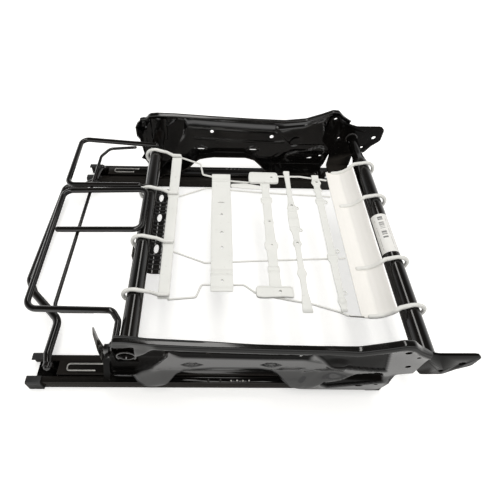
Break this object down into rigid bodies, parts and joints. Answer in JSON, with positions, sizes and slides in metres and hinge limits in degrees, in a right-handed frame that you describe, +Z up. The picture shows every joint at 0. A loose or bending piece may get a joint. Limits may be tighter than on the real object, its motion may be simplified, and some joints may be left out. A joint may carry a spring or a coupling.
{
  "type": "seat cushion frame",
  "caption": "Car seat cushion frame: pressed steel side members, cross tubes and front wires on slide rails, with a release bar, latches and a moulded suspension mat.",
  "frame": {"origin": "middle of the frame's bounding box at the level of the floor under the lower rails", "axes": "+X towards the rear of the seat, +Y towards its right-hand side, +Z up"},
  "size_m": [0.6691, 0.506, 0.1717],
  "materials": {
    "black_paint": "gloss",
    "cap_plastic": "matte",
    "latch_steel": "satin",
    "mat_plastic": "satin",
    "panel_plastic": "satin",
    "wire_coating": "satin"
  },
  "bodies": {
    "lower_rails": {"lower_rail_left": "black_paint", "lower_rail_right": "black_paint", "rail_cap_front_outer_left": "cap_plastic", "rail_cap_front_outer_right": "cap_plastic", "rail_cap_front_inner_left": "cap_plastic", "rail_cap_front_inner_right": "cap_plastic", "rail_cap_rear_outer_left": "cap_plastic", "rail_cap_rear_outer_right": "cap_plastic", "rail_cap_rear_inner_left": "cap_plastic", "rail_cap_rear_inner_right": "cap_plastic"},
    "seat_frame": {"upper_rail_left": "black_paint", "side_member_left": "black_paint", "recliner_bracket_left": "black_paint", "foot_rivet_left_1": "black_paint", "foot_rivet_left_2": "black_paint", "foot_rivet_left_3": "black_paint", "foot_rivet_left_4": "black_paint", "release_pin_left": "latch_steel", "latch_pin_left": "latch_steel", "latch_spring_left": "latch_steel", "upper_rail_right": "black_paint", "side_member_right": "black_paint", "recliner_bracket_right": "black_paint", "foot_rivet_right_1": "black_paint", "foot_rivet_right_2": "black_paint", "foot_rivet_right_3": "black_paint", "foot_rivet_right_4": "black_paint", "release_pin_right": "latch_steel", "latch_pin_right": "latch_steel", "latch_spring_right": "latch_steel", "front_cross_tube": "black_paint", "rear_cross_tube": "black_paint", "front_wire_left": "black_paint", "front_wire_right": "black_paint", "front_support_wire": "black_paint", "front_bracket_plate": "black_paint", "mat_front_strip": "mat_plastic", "mat_wide_pad": "mat_plastic", "mat_strap_second": "mat_plastic", "mat_strap_third": "mat_plastic", "mat_strap_fourth": "mat_plastic", "mat_rear_panel": "panel_plastic", "mat_wire_right_outer": "wire_coating", "mat_wire_right_inner": "wire_coating", "mat_wire_left_inner": "wire_coating", "mat_wire_left_outer": "wire_coating", "mat_front_hook_1": "wire_coating", "mat_front_hook_2": "wire_coating", "mat_front_hook_3": "wire_coating", "mat_front_hook_4": "wire_coating", "mat_rear_hook_1": "wire_coating", "mat_rear_hook_2": "wire_coating", "mat_rear_hook_3": "wire_coating", "mat_rear_hook_4": "wire_coating"},
    "release_lever": {"slide_release_bar": "black_paint"},
    "latch_lever_left": {"latch_left": "latch_steel"},
    "latch_lever_right": {"latch_right": "latch_steel"}
  },
  "joints": [
    {"name": "seat_slide", "type": "slide", "parent": "lower_rails", "child": "seat_frame", "axis": [1, 0, 0], "range_m": [-0.1, 0.1]},
    {"name": "release_hinge", "type": "hinge", "parent": "seat_frame", "child": "release_lever", "pos_m": [-0.2284, 0, 0.014], "axis": [0, 1, 0], "range_deg": [0, 8], "stiffness_Nm_per_rad": 2, "springref_deg": -5.73},
    {"name": "latch_hinge_left", "type": "hinge", "parent": "seat_frame", "child": "latch_lever_left", "pos_m": [-0.0784, -0.22, 0.012], "axis": [0, 1, 0], "range_deg": [-0.85, 0]},
    {"name": "latch_hinge_right", "type": "hinge", "parent": "seat_frame", "child": "latch_lever_right", "pos_m": [-0.0784, 0.22, 0.012], "axis": [0, 1, 0], "range_deg": [-0.85, 0]}
  ],
  "couplings": [
    {"joint": "latch_hinge_left", "follows": "release_hinge", "ratio": -0.1},
    {"joint": "latch_hinge_right", "follows": "release_hinge", "ratio": -0.1}
  ]
}
